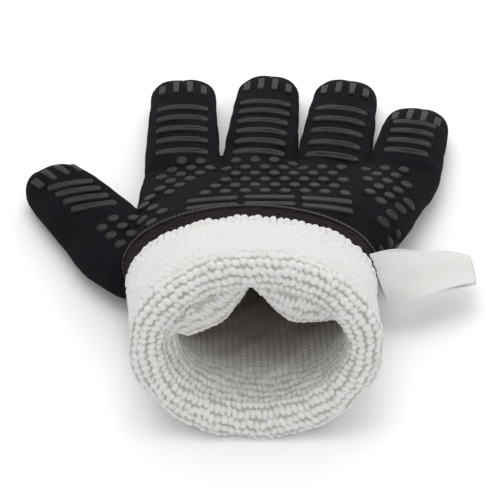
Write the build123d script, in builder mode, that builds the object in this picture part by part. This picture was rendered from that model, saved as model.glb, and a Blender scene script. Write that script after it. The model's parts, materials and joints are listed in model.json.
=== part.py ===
from build123d import *

# Heat resistant glove for grills and ovens: a black knitted shell over a thick white knitted liner, with
# silicone grips on the palm side and the cuff turned back over the wrist.
# Frame: millimetres, +Z up. The glove lies on its back with the palm up, the fingers point along +Y and the
# thumb lies on the -X side. The origin is on the resting plane, under the middle of the hand.

import os
from dataclasses import dataclass, replace
from math import copysign, cos, pi, radians, sin

# Fabric, in the order of the layers
SHELL = 1.5
LINER = 3.2
TURNED_LINER = 4.0
CLEAR = 0.3
LINER_INSET = SHELL + CLEAR
HAND_SPACE = LINER_INSET + LINER
GRIP_HEIGHT = 1.0
GRIP_CLEAR = 0.05
PRINT_CLEAR = 0.2

# Cuff: it leans back from its front rim, and is turned back on itself as far as the hem
CUFF_LEAN = 18
RIM_Y, HEM_Y = -83, -10.5
RIM_HALF_WIDTH, RIM_HALF_HEIGHT = 48.5, 39
HEM_HALF_WIDTH, HEM_HALF_HEIGHT = 54, 26.5
RIM_SHIFT = 2.4
FOLD_LENGTH = 5.5
LINER_EDGE_Y = -20
TURNED_SHELL_INSET = TURNED_LINER + CLEAR
TURNED_STACK = TURNED_SHELL_INSET + SHELL
INNER_INSET = TURNED_STACK + 1
HEM_INSET = 1.5
OVERLOCK_LENGTH = 1.6
SECTION_POINTS = 12

# Fingers
ROOT_Y = 77
KNUCKLE_GAP = 3
TIP_RISE = 1.5
DOME = ((13, 1.0), (6, 0.85), (2, 0.6), (0, 0.32))

# Silicone grips
DOT_RADIUS = 2.6
BAR_WIDTH, BAR_CORNER = 3.8, 1.2
PALM_BAR_LENGTH = 22.5
FIRST_BAR = 6.2
TIP_BAR_PITCH, TIP_BAR_WIDTH, TIP_BAR_LENGTH = 6.6, 2.8, 14
TIP_BAR_BACK = 21
TIP_BAR_STEPS = (-1.5, -0.5, 0.5, 1.5)
RAY_HEIGHT = 90

# Hanging loop of tape, sewn to the right side of the hem
TAPE_WIDTH, TAPE_THICK = 22, 1.2
LOOP_LENGTH, LOOP_THICKNESS, LOOP_DROOP = 42, 8.6, 12
LOOP_ROOT, LOOP_ROOT_GAP = 2.6, 0.6
LOOP_SEAM, SPACE_ROOT = 6, 0.6
LOOP_HEIGHT = 28
TAB_LENGTH = 6
SEAM_CLEAR = 2.6


@dataclass
class Station:
    """One oval section of a knitted tube. It stands on the plane Z = 0 at x, y, or rise above it."""

    x: float
    y: float
    half_width: float
    half_height: float
    heading: float = 0
    lean: float = 0
    rise: float = 0
    power: float = 2

    def plane(self):
        """The section's plane: X across the tube and Y up, with its normal back down the tube."""
        turn, tilt = radians(self.heading), radians(self.lean)
        normal = (sin(turn) * cos(tilt), -cos(turn) * cos(tilt), sin(tilt))
        return Plane(origin=(self.x, self.y, 0), x_dir=(cos(turn), sin(turn), 0), z_dir=normal)

    def section(self, inset=0.0):
        """The oval, moved inwards by inset."""
        wide, high = self.half_width - inset, self.half_height - inset
        middle = self.rise + self.half_height
        points = []
        for step in range(SECTION_POINTS):
            across, up = (f(2 * pi * step / SECTION_POINTS) for f in (cos, sin))
            x = copysign(abs(across) ** (2 / self.power), across) * wide
            y = copysign(abs(up) ** (2 / self.power), up) * high
            points.append((x, middle + y))
        with BuildSketch(self.plane()) as oval:
            with BuildLine():
                Spline(*points, periodic=True)
            make_face()
        return oval.sketch


@dataclass
class Digit:
    """One finger or thumb: its root, the way it points, and its size at root and tip."""

    x: float
    y: float
    heading: float
    length: float
    half_width: float
    tip_half_width: float
    bars: int
    bar_pitch: float = 9.2
    bar_length: float = 24
    half_height: float = 11
    tip_half_height: float = 9.4
    root_heading: float = 0

    def direction(self):
        turn = radians(self.heading)
        return -sin(turn), cos(turn)

    def station(self, distance, scale=1.0, heading=None):
        """The section at a distance from the root. The tip curls up a little."""
        share = distance / self.length
        ahead = self.direction()
        wide = self.half_width + (self.tip_half_width - self.half_width) * share
        high = self.half_height + (self.tip_half_height - self.half_height) * share
        middle = self.half_height + TIP_RISE * share**3
        x, y = self.x + ahead[0] * distance, self.y + ahead[1] * distance
        heading = self.heading if heading is None else heading
        return Station(x, y, wide * scale, high * scale, heading, rise=middle - high * scale, power=2.5)

    def stations(self, inset=0.0):
        """Sections from the root to the domed tip, with the tip drawn back by inset."""
        domed = [self.station(self.length - inset - back, scale) for back, scale in DOME]
        return [self.station(KNUCKLE_GAP, heading=self.root_heading)] + domed

    def top_plane(self):
        """A level plane through the middle of the digit, with Y along it."""
        ahead = self.direction()
        return Plane((self.x, self.y, self.half_height), x_dir=(ahead[1], -ahead[0], 0), z_dir=(0, 0, 1))


THUMB_HEADING = 35
DIGITS = {
    "thumb": Digit(-65, 34, THUMB_HEADING, 58, 20, 15.5, bars=4, bar_pitch=7, bar_length=22,
                   root_heading=THUMB_HEADING),
    "index": Digit(-31.5, ROOT_Y, 1.5, 81, 16.6, 15.8, bars=5),
    "middle": Digit(3.8, ROOT_Y, -4.5, 84, 16.6, 15.2, bars=6, bar_pitch=7.8),
    "ring": Digit(38, ROOT_Y, -8.5, 81, 16.2, 15.4, bars=5),
    "little": Digit(71.7, ROOT_Y, -13.5, 56, 16, 14.6, bars=4, bar_pitch=6.4, bar_length=20),
}


def cuff_station(y):
    """The outside of the turned cuff where it stands on the resting plane at y."""
    share = (y - RIM_Y) / (HEM_Y - RIM_Y)
    wide = RIM_HALF_WIDTH + (HEM_HALF_WIDTH - RIM_HALF_WIDTH) * share
    high = RIM_HALF_HEIGHT + (HEM_HALF_HEIGHT - RIM_HALF_HEIGHT) * share
    return Station(RIM_SHIFT * (1 - share), y, wide, high, lean=CUFF_LEAN)


def inner_cuff_station(y):
    """The outside of the inner tube, inside the turned cuff."""
    outer = cuff_station(y)
    wide, high = outer.half_width - INNER_INSET, outer.half_height - INNER_INSET
    return replace(outer, half_width=wide, half_height=high, rise=INNER_INSET)


FOLD_Y = RIM_Y + FOLD_LENGTH
RIM_ROLL = ((FOLD_Y, 0), (FOLD_Y - 3, 0.6), (RIM_Y + 0.6, 2.2), (RIM_Y, 4))
thumb_root_end = DIGITS["thumb"].station(-KNUCKLE_GAP)
HAND = [
    inner_cuff_station(FOLD_Y + CLEAR),
    inner_cuff_station((FOLD_Y + HEM_Y) / 2),
    inner_cuff_station(HEM_Y),
    Station(4, 6, 55, 20, lean=14, rise=1.5, power=2.2),
    Station(9.5, 28, 60, 17.5, lean=8, power=2.5),
    Station(14, 52, 64.5, 13.8, lean=3, power=3),
    Station(20, ROOT_Y - KNUCKLE_GAP, 69.5, 11.4, power=3.6),
]
THUMB_ROOT = [
    Station(-33, 10, 21, 12, heading=THUMB_HEADING, rise=1.5, power=2.5),
    Station(-51, 19.5, 25.5, 12.5, heading=THUMB_HEADING, power=2.5),
    replace(thumb_root_end, half_width=20, half_height=11, rise=0),
]


def sections(stations, inset=0.0):
    return [station.section(inset) for station in stations]


def inside(point, corners):
    """True where a point lies inside a closed outline given by its corners."""
    x, y = point
    found = False
    for (x1, y1), (x2, y2) in zip(corners, corners[1:] + corners[:1]):
        if (y1 > y) != (y2 > y) and x < x1 + (x2 - x1) * (y - y1) / (y2 - y1):
            found = not found
    return found


def staggered(corners, start, pitch, row_pitch):
    """Dot centres in staggered rows over an outline, counted from one of the dots."""
    steps = range(-12, 13)
    grid = [(start[0] + (c + 0.5 * (r % 2)) * pitch, start[1] + r * row_pitch) for r in steps for c in steps]
    return [point for point in grid if inside(point, corners)]


def printed_plane(parts, x, y, ahead=(0, 1)):
    """The plane just above the knit at x, y, with its X axis along a level direction."""
    ray = Axis((x, y, RAY_HEIGHT), (0, 0, -1))
    hits = [part.find_intersection_points(ray)[0] for part in parts if part.find_intersection_points(ray)]
    point, normal = max(hits, key=lambda hit: hit[0].Z)
    normal = normal * copysign(1, normal.Z)
    return Plane(origin=point + normal * PRINT_CLEAR, x_dir=(*ahead, 0), z_dir=normal)


DOT_AREAS = {
    "grip_dots_index_mound": staggered(
        [(-39, 72), (-13, 72), (-15, 62), (-26, 54), (-34, 40), (-45, 43), (-42, 60)], (-31.5, 67), 8.7, 6.2
    ),
    "grip_dots_palm_centre": staggered(
        [(-11, 71.5), (48, 71.5), (46, 34), (-28, 34), (-14, 58)], (-6.5, 67.5), 8.8, 7.6
    ),
    "grip_dots_little_mound": staggered(
        [(54, 71), (76, 71), (73, 44), (66, 26), (59, 14), (50, 12), (56, 30), (50, 44), (46, 52)],
        (62, 67), 8.7, 6.6,
    ),
    "grip_dots_thumb_mound": staggered(
        [(-66, 25), (-56, 31), (-49, 35), (-36, 34), (-34, 22), (-52, 12), (-62, 17)], (-56, 24), 8.9, 6.4
    ),
}
PALM_BARS = [(x, y) for y in (28, 20.5) for x in (-16, 9, 34)]

made = []


def keep(name, builder):
    """Labels a finished piece and writes it to its own file."""
    builder.part.label = name
    export_step(builder.part, f"parts/{name}.step")
    made.append(builder.part)


os.makedirs("parts", exist_ok=True)

# Shell and liner of the hand, each with a doorway into the thumb
for name, outside, thickness in (("shell", 0, SHELL), ("liner", LINER_INSET, LINER)):
    with BuildPart() as hand:
        loft(sections=sections(HAND, outside), ruled=True)
        loft(sections=sections(HAND, outside + thickness), ruled=True, mode=Mode.SUBTRACT)
        loft(sections=sections(THUMB_ROOT, outside + thickness), ruled=True, mode=Mode.SUBTRACT)
    keep(f"{name}_hand", hand)
    with BuildPart() as thumb_root:
        loft(sections=sections(THUMB_ROOT, outside), ruled=True)
        loft(sections=sections(THUMB_ROOT, outside + thickness), ruled=True, mode=Mode.SUBTRACT)
        loft(sections=sections(HAND, -CLEAR / 2), ruled=True, mode=Mode.SUBTRACT)
    keep(f"{name}_thumb_root", thumb_root)
    if name == "shell":
        hand_parts = [hand.part, thumb_root.part]

# Turned-back cuff: liner outside, shell under it
with BuildPart() as liner_cuff_turned:
    span = [cuff_station(y) for y in (FOLD_Y + CLEAR, LINER_EDGE_Y)]
    loft(sections=sections(span), ruled=True)
    loft(sections=sections(span, TURNED_LINER), ruled=True, mode=Mode.SUBTRACT)
keep("liner_cuff_turned", liner_cuff_turned)

with BuildPart() as shell_cuff_turned:
    span = [cuff_station(y) for y in (FOLD_Y + CLEAR, HEM_Y)]
    loft(sections=sections(span, TURNED_SHELL_INSET), ruled=True)
    loft(sections=sections(span, TURNED_STACK), ruled=True, mode=Mode.SUBTRACT)
keep("shell_cuff_turned", shell_cuff_turned)

# Rolled rim where the cuff folds, round the hand's way in
with BuildPart() as liner_cuff_fold:
    stack = INNER_INSET + HAND_SPACE
    loft(sections=[cuff_station(y).section(inset) for y, inset in RIM_ROLL], ruled=True)
    loft(sections=[cuff_station(y).section(stack - inset) for y, inset in RIM_ROLL], ruled=True, mode=Mode.SUBTRACT)
keep("liner_cuff_fold", liner_cuff_fold)

# Hem: a black band over the end of the turned shell, and its overlocked edge
with BuildPart() as hem_band:
    span = [cuff_station(y) for y in (LINER_EDGE_Y + CLEAR, HEM_Y - CLEAR)]
    loft(sections=sections(span, HEM_INSET), ruled=True)
    loft(sections=sections(span, TURNED_LINER), ruled=True, mode=Mode.SUBTRACT)
keep("hem_band", hem_band)

with BuildPart() as hem_overlock:
    span = [cuff_station(y) for y in (HEM_Y + CLEAR / 2, HEM_Y + OVERLOCK_LENGTH)]
    loft(sections=sections(span, HEM_INSET), ruled=True)
    loft(sections=sections(span, TURNED_STACK), ruled=True, mode=Mode.SUBTRACT)
keep("hem_overlock", hem_overlock)

# Silicone dots and bars on the hand
for name, centres in DOT_AREAS.items():
    with BuildPart() as dots:
        for centre in centres:
            with BuildSketch(printed_plane(hand_parts, *centre)):
                Circle(DOT_RADIUS)
            extrude(amount=GRIP_HEIGHT)
    keep(name, dots)

with BuildPart() as grip_bars_palm:
    for centre in PALM_BARS:
        with BuildSketch(printed_plane(hand_parts, *centre, ahead=(1, 0))):
            RectangleRounded(PALM_BAR_LENGTH, BAR_WIDTH, BAR_CORNER)
        extrude(amount=GRIP_HEIGHT)
keep("grip_bars_palm", grip_bars_palm)

# Fingers and thumb: shell, liner, cross bars and tip bars
for name, digit in DIGITS.items():
    for layer, outside, thickness in (("liner", LINER_INSET, LINER), ("shell", 0, SHELL)):
        with BuildPart() as tube:
            loft(sections=sections(digit.stations(outside), outside), ruled=True)
            loft(
                sections=sections(digit.stations(outside + thickness), outside + thickness),
                ruled=True, mode=Mode.SUBTRACT,
            )
        keep(f"{layer}_{name}", tube)

    with BuildPart() as grip_bars:
        loft(sections=sections(digit.stations(), -GRIP_HEIGHT), ruled=True)
        loft(sections=sections(digit.stations(), -GRIP_CLEAR), ruled=True, mode=Mode.SUBTRACT)
        with BuildSketch(digit.top_plane()):
            for row in range(digit.bars):
                with Locations((0, FIRST_BAR + row * digit.bar_pitch)):
                    Rectangle(digit.bar_length, BAR_WIDTH)
        extrude(amount=2 * digit.half_height, mode=Mode.INTERSECT)
    keep(f"grip_bars_{name}", grip_bars)

    with BuildPart() as grip_tip:
        ahead = digit.direction()
        for step in TIP_BAR_STEPS:
            along, across = digit.length - TIP_BAR_BACK, step * TIP_BAR_PITCH
            x = digit.x + ahead[0] * along + ahead[1] * across
            y = digit.y + ahead[1] * along - ahead[0] * across
            with BuildSketch(printed_plane([tube.part], x, y, ahead)):
                RectangleRounded(TIP_BAR_LENGTH, TIP_BAR_WIDTH, BAR_CORNER)
            extrude(amount=GRIP_HEIGHT)
    keep(f"grip_tip_{name}", grip_tip)

# Hanging loop: its sewn end lies against the hem, and the loop swings out from it
seam = cuff_station(LINER_EDGE_Y)
seam_y = LINER_EDGE_Y + LOOP_HEIGHT * sin(radians(CUFF_LEAN))
droop = radians(LOOP_DROOP)
loop_plane = Plane(
    origin=(seam.x + seam.half_width + SEAM_CLEAR, seam_y, LOOP_HEIGHT),
    x_dir=(cos(droop), 0, -sin(droop)),
    z_dir=(-sin(droop), 0, -cos(droop)),
)

with BuildPart() as hang_loop:
    far, side = LOOP_LENGTH - LOOP_THICKNESS / 2, LOOP_THICKNESS / 2
    near = LOOP_ROOT_GAP + LOOP_ROOT / 2
    outline = ((near, LOOP_ROOT / 2), (far, side))
    space = ((near + LOOP_SEAM, SPACE_ROOT), (far, side - TAPE_THICK))
    for circles, mode in ((outline, Mode.ADD), (space, Mode.SUBTRACT)):
        with BuildSketch(loop_plane.offset(-TAPE_WIDTH / 2)):
            for x, radius in circles:
                with Locations((x, 0)):
                    Circle(radius)
            make_hull()
        extrude(amount=TAPE_WIDTH, mode=mode)
keep("hang_loop", hang_loop)

with BuildPart() as hang_loop_tab:
    with BuildSketch(loop_plane.offset(-TAPE_WIDTH / 2)):
        with Locations((-TAPE_THICK / 2, 0)):
            Rectangle(TAPE_THICK, TAB_LENGTH)
    extrude(amount=TAPE_WIDTH)
keep("hang_loop_tab", hang_loop_tab)

total = Compound(children=made).bounding_box()
print("size", total.size, "from", total.min, "to", total.max)
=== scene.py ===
import json
from math import cos, pi, radians, sin, tan

import bpy
import numpy as np
from bpy.props import FloatProperty, FloatVectorProperty, PointerProperty
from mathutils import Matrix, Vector
from mathutils.bvhtree import BVHTree


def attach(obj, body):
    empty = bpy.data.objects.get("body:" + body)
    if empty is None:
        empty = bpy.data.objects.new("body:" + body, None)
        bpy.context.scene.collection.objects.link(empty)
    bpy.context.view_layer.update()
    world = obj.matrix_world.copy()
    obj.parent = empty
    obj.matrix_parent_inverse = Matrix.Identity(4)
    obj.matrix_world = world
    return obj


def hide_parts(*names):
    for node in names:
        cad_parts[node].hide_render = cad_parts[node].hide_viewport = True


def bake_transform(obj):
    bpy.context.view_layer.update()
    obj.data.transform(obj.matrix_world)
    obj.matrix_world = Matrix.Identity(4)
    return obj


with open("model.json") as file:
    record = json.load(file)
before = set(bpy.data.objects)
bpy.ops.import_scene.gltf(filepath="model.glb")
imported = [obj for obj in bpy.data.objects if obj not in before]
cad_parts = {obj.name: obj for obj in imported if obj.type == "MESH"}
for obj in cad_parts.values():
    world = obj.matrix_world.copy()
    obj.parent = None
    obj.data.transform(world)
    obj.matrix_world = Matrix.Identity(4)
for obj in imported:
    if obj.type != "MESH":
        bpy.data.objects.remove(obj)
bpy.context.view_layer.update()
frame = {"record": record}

bl_info = {
    "name": "Heat resistant glove",
    "version": (1, 0, 0),
    "blender": (4, 5, 0),
    "location": "View3D > Sidebar > Glove",
    "description": "Builds the knitted glove, its silicone grips, its turned cuff and its hanging loop",
    "category": "Add Mesh",
}

MM = 0.001
JOINTS = {joint["name"]: joint for joint in frame["record"]["behaviour"]["joints"]}
DIGITS = ("thumb", "index", "middle", "ring", "little")
SECTION_STEPS = 720
CUFF_LEAN = 18.0
LEAN_RUN = tan(radians(CUFF_LEAN))


# --------------------------------------------------------------------------------------------------
# Sizes and colours a user would change


class GloveKnit(bpy.types.PropertyGroup):
    """The knitted fabrics."""

    wale: FloatProperty(name="Shell rib", description="Width of one rib of the shell", default=1.75 * MM,
                        unit="LENGTH")
    rib_depth: FloatProperty(name="Rib depth", description="How far the shell's ribs stand up",
                             default=0.8 * MM, unit="LENGTH")
    bead: FloatProperty(name="Liner bead", description="Width of one bead of the liner's purl rows",
                        default=3.2 * MM, unit="LENGTH")
    bead_row: FloatProperty(name="Liner row", description="Height of one purl row of the liner",
                            default=3.5 * MM, unit="LENGTH")
    bead_height: FloatProperty(name="Bead height", description="How far a bead stands up at the rim",
                               default=1.15 * MM, unit="LENGTH")


class GloveCuff(bpy.types.PropertyGroup):
    """The turned-back cuff."""

    roll: FloatProperty(name="Roll", description="Half the thickness of the rolled rim", default=5.9 * MM,
                        unit="LENGTH")
    sag: FloatProperty(name="Sag", description="How far the lining droops inside the mouth",
                       default=17.5 * MM, unit="LENGTH")
    depth: FloatProperty(name="Depth", description="How far the lining of the mouth goes in",
                         default=110 * MM, unit="LENGTH")


class GloveGrips(bpy.types.PropertyGroup):
    """The silicone printed on the palm side."""

    height: FloatProperty(name="Height", description="How far the silicone stands up", default=1.0 * MM,
                          unit="LENGTH")
    dot: FloatProperty(name="Dot", description="Diameter of a dot", default=5.4 * MM, unit="LENGTH")
    bar: FloatProperty(name="Bar", description="Width of a cross bar", default=4.3 * MM, unit="LENGTH")
    tip_bar: FloatProperty(name="Tip bar", description="Width of a fingertip bar", default=3.1 * MM,
                           unit="LENGTH")


class GloveColours(bpy.types.PropertyGroup):
    """The colours of the fabrics and the silicone."""

    shell: FloatVectorProperty(name="Shell", description="Black knitted shell", subtype="COLOR",
                               default=(0.0042, 0.0038, 0.0054))
    silicone: FloatVectorProperty(name="Silicone", description="Dark grey silicone", subtype="COLOR",
                                  default=(0.0095, 0.0094, 0.0104))
    liner: FloatVectorProperty(name="Liner", description="White liner", subtype="COLOR",
                               default=(0.815, 0.805, 0.79))
    hem: FloatVectorProperty(name="Hem", description="Brown-black hem", subtype="COLOR",
                             default=(0.0115, 0.0072, 0.0066))
    tape: FloatVectorProperty(name="Tape", description="Tape of the hanging loop", subtype="COLOR",
                              default=(0.78, 0.77, 0.755))


class GloveStage(bpy.types.PropertyGroup):
    """The camera and the floor."""

    distance: FloatProperty(name="Distance", description="Camera distance", default=0.7, unit="LENGTH")
    elevation: FloatProperty(name="Elevation", description="Camera height angle", default=radians(40),
                             subtype="ANGLE")
    lens: FloatProperty(name="Lens", description="Focal length in millimetres", default=118.44)
    floor: FloatProperty(name="Floor", description="Size of the floor", default=6.0, unit="LENGTH")


class GloveSettings(bpy.types.PropertyGroup):
    """All of the glove's settings."""

    knit: PointerProperty(type=GloveKnit)
    cuff: PointerProperty(type=GloveCuff)
    grips: PointerProperty(type=GloveGrips)
    colours: PointerProperty(type=GloveColours)
    stage: PointerProperty(type=GloveStage)


# --------------------------------------------------------------------------------------------------
# Sections of the hand and of the digits, in millimetres: floor line, lean, middle, half width,
# half height, rise above the floor and squareness

HAND = (
    (-30, 18, 0.5, 45.9, 22.5, 7.2, 2.0),
    (-10.5, 18, 0, 47.6, 20.1, 6.4, 2.0),
    (6, 14, 4, 54.5, 19.8, 1.2, 2.2),
    (28, 8, 9.5, 60.5, 17.3, 0, 2.5),
    (52, 3, 14.5, 65.0, 13.7, 0, 2.9),
    (70, 0.5, 19.2, 68.4, 11.3, 0, 3.3),
    (79, 0, 20.7, 68.6, 10.4, 0.4, 3.4),
    (85, 0, 21.9, 66.0, 9.0, 1.6, 3.2),
)
CROTCHES = (-13.6, 20.8, 54.8)
WALL = 2.2
CROTCH_WIDTH, CROTCH_DEPTH, CROTCH_FROM, CROTCH_TO = 4.6, 4.0, 55, 85
KNUCKLES = 85

# Length, half widths at the root, middle and tip, half heights likewise, rise of the tip
DIGIT_SIZES = {
    "thumb": (57, (19.2, 17.0, 13.8), (10.8, 10.2, 8.0), 0.4),
    "index": (78.8, (17.9, 16.6, 15.4), (11.2, 10.5, 7.8), 0.2),
    "middle": (81.8, (17.9, 16.4, 15.0), (11.2, 10.5, 7.8), 0.2),
    "ring": (78.8, (17.6, 16.4, 15.2), (11.2, 10.5, 7.8), 0.2),
    "little": (54.5, (17.2, 16.0, 14.4), (11.0, 10.3, 7.9), 0.2),
}
THUMB_ROOT = (
    (-45, -19.5, -6.5, 8.0, 8.5, 6.0),
    (-38, -31.0, 4.5, 21.5, 12.2, 1.5),
    (-22, -49.0, 18.6, 23.6, 12.2, 0.0),
    (-8, -59.9, 28.1, 20.9, 11.2, 0.0),
)
TIP_DOME, TIP_SQUARE = 16.0, 2.3
DIGIT_SQUARE = 2.5
ROOT_OVERLAP, THUMB_ROOT_START, THUMB_ROOT_END = 15, 45, 8
ROOT_INSET = 2.2
BEND_BEFORE, BEND_AFTER = 9, 10


def smoothstep(low, high, value):
    share = np.clip((value - low) / (high - low), 0, 1)
    return share * share * (3 - 2 * share)


def curve_through(table, at):
    """Smooth values at the given places, through a table whose first column is the place."""
    table = np.array(table, float)
    places, values = table[:, 0], table[:, 1:]
    slopes = np.gradient(values, places, axis=0)
    low = np.clip(np.searchsorted(places, at, side="right") - 1, 0, len(places) - 2)
    gap = (places[low + 1] - places[low])[:, None]
    t = ((at - places[low]) / gap[:, 0])[:, None]
    start = values[low] * (2 * t**3 - 3 * t**2 + 1) + slopes[low] * gap * (t**3 - 2 * t**2 + t)
    end = values[low + 1] * (3 * t**2 - 2 * t**3) + slopes[low + 1] * gap * (t**3 - t**2)
    return start + end


def scatter(i, j=0.0, seed=0.0):
    """A fixed value from 0 to 1 that looks random, for each pair of whole numbers."""
    return (np.sin(i * 12.9898 + j * 78.233 + seed * 37.719) * 43758.5453) % 1.0


def waves(points, length, seed):
    """A slow uneven rise and fall over space, from -1 to 1, for points in millimetres."""
    total = np.zeros(points.shape[:-1])
    for turn in range(4):
        way = np.array([sin(seed + turn * 2.1), cos(seed * 1.7 + turn * 1.3), sin(seed * 0.6 + turn * 2.9)])
        total += np.sin(points @ way * (2 * pi / length) * (1 + 0.35 * turn) + seed * (turn + 1))
    return total / 4


def rings(floor_x, floor_y, heading, lean, half_width, half_height, rise, square, columns, shape=None):
    """Oval rings, one for each entry, with their points evenly spaced round them from the lowest one.
    shape changes a ring's own x and z before it is placed."""
    theta = np.linspace(-pi / 2, 3 * pi / 2, SECTION_STEPS + 1)
    across, up = np.cos(theta), np.sin(theta)
    result = np.empty((len(floor_y), columns, 3))
    for row in range(len(floor_y)):
        power = 2 / square[row]
        x = np.sign(across) * np.abs(across) ** power * half_width[row]
        z = np.sign(up) * np.abs(up) ** power * half_height[row] + half_height[row]
        if shape is not None:
            x, z = shape(row, x, z)
        z = z + rise[row]
        length = np.concatenate([[0], np.cumsum(np.hypot(np.diff(x), np.diff(z)))])
        even = np.arange(columns) / columns * length[-1]
        x, z = np.interp(even, length, x), np.interp(even, length, z)
        turn, tilt = radians(heading[row]), radians(lean[row])
        result[row, :, 0] = floor_x[row] + x * cos(turn) - z * sin(tilt) * sin(turn)
        result[row, :, 1] = floor_y[row] + x * sin(turn) + z * sin(tilt) * cos(turn)
        result[row, :, 2] = z * cos(tilt)
    return result


# --------------------------------------------------------------------------------------------------
# Meshes


def deselect():
    bpy.ops.object.select_all(action="DESELECT")


def edit(piece, *steps):
    """Runs edit mode operators on the whole of one piece."""
    deselect()
    piece.select_set(True)
    bpy.context.view_layer.objects.active = piece
    bpy.ops.object.mode_set(mode="EDIT")
    bpy.ops.mesh.select_all(action="SELECT")
    for operator, settings in steps:
        operator(**settings)
    bpy.ops.object.mode_set(mode="OBJECT")


def outward(points, loop):
    """Unit normals of a grid of points whose columns go round."""
    if loop:
        along = np.roll(points, -1, axis=0) - np.roll(points, 1, axis=0)
    else:
        along = np.gradient(points, axis=0)
    around = np.roll(points, -1, axis=1) - np.roll(points, 1, axis=1)
    normal = np.cross(along, around)
    return normal / np.maximum(np.linalg.norm(normal, axis=2, keepdims=True), 1e-9)


def grid(name, columns, rows):
    """A flat grid, with each point's share of the way across and its row."""
    deselect()
    bpy.ops.mesh.primitive_grid_add(x_subdivisions=columns, y_subdivisions=rows - 1, size=1)
    piece = bpy.context.object
    piece.name = piece.data.name = name
    flat = np.empty(len(piece.data.vertices) * 3)
    piece.data.vertices.foreach_get("co", flat)
    flat = flat.reshape(-1, 3)
    return piece, flat[:, 0] + 0.5, np.rint((flat[:, 1] + 0.5) * (rows - 1)).astype(int)


def place_grid(piece, places, uv_size):
    """Moves a grid's points to places in millimetres, and stretches its UV map to a size."""
    piece.data.vertices.foreach_set("co", (places * MM).ravel())
    uv = piece.data.uv_layers[0]
    values = np.empty(len(uv.data) * 2)
    uv.data.foreach_get("uv", values)
    uv.data.foreach_set("uv", (values.reshape(-1, 2) * uv_size).ravel())
    piece.data.update()


def skin(name, points, relief, wales, courses, loop=False, shade=None):
    """A grid rolled up through rows of points, in millimetres, with its relief raised along the normals.
    Its UV map counts wales across and courses along. Its height attribute, taken from shade where that is
    given, is 0 in the gaps, 1 on top; the knit materials paint shade into the gaps by it."""
    points = points + outward(points, loop) * relief[:, :, None]
    height = (relief - relief.min()) / max(np.ptp(relief), 1e-6) if shade is None else shade
    if loop:
        points, height = (np.concatenate([rows, rows[:1]]) for rows in (points, height))
    rows, columns = points.shape[:2]
    piece, across, row = grid(name, columns, rows)
    column = np.rint(across * columns).astype(int) % columns
    place_grid(piece, points[row, column], (wales, courses))
    piece.data.attributes.new("height", "FLOAT", "POINT").data.foreach_set("value", height[row, column])
    edit(
        piece,
        (bpy.ops.mesh.remove_doubles, {"threshold": 1e-6}),
        (bpy.ops.mesh.normals_make_consistent, {"inside": False}),
    )
    bpy.ops.object.shade_smooth()
    return piece


def finish_piece(piece, material, slot, *nodes):
    piece.data.materials.clear()
    piece.data.materials.append(material)
    if nodes:
        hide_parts(*nodes)
    return piece


# --------------------------------------------------------------------------------------------------
# Materials


class Value:
    """A shader value. Python's own operators add Math nodes to its material."""

    def __init__(self, shader, socket):
        self.shader, self.socket = shader, socket

    def maths(self, operation, *values):
        node = self.shader.node("ShaderNodeMath", {"operation": operation}, dict(enumerate(values)))
        return Value(self.shader, node.outputs[0])

    def __add__(self, other):
        return self.maths("ADD", self, other)

    def __sub__(self, other):
        return self.maths("SUBTRACT", self, other)

    def __rsub__(self, other):
        return self.maths("SUBTRACT", other, self)

    def __mul__(self, other):
        return self.maths("MULTIPLY", self, other)

    def __truediv__(self, other):
        return self.maths("DIVIDE", self, other)

    def __pow__(self, other):
        return self.maths("POWER", self, other)

    __radd__ = __add__
    __rmul__ = __mul__

    def sine(self):
        return self.maths("SINE", self)

    def fraction(self):
        return self.maths("FRACT", self)

    def absolute(self):
        return self.maths("ABSOLUTE", self)

    def clipped(self):
        return self.maths("MAXIMUM", self.maths("MINIMUM", self, 1.0), 0.0)


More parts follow.
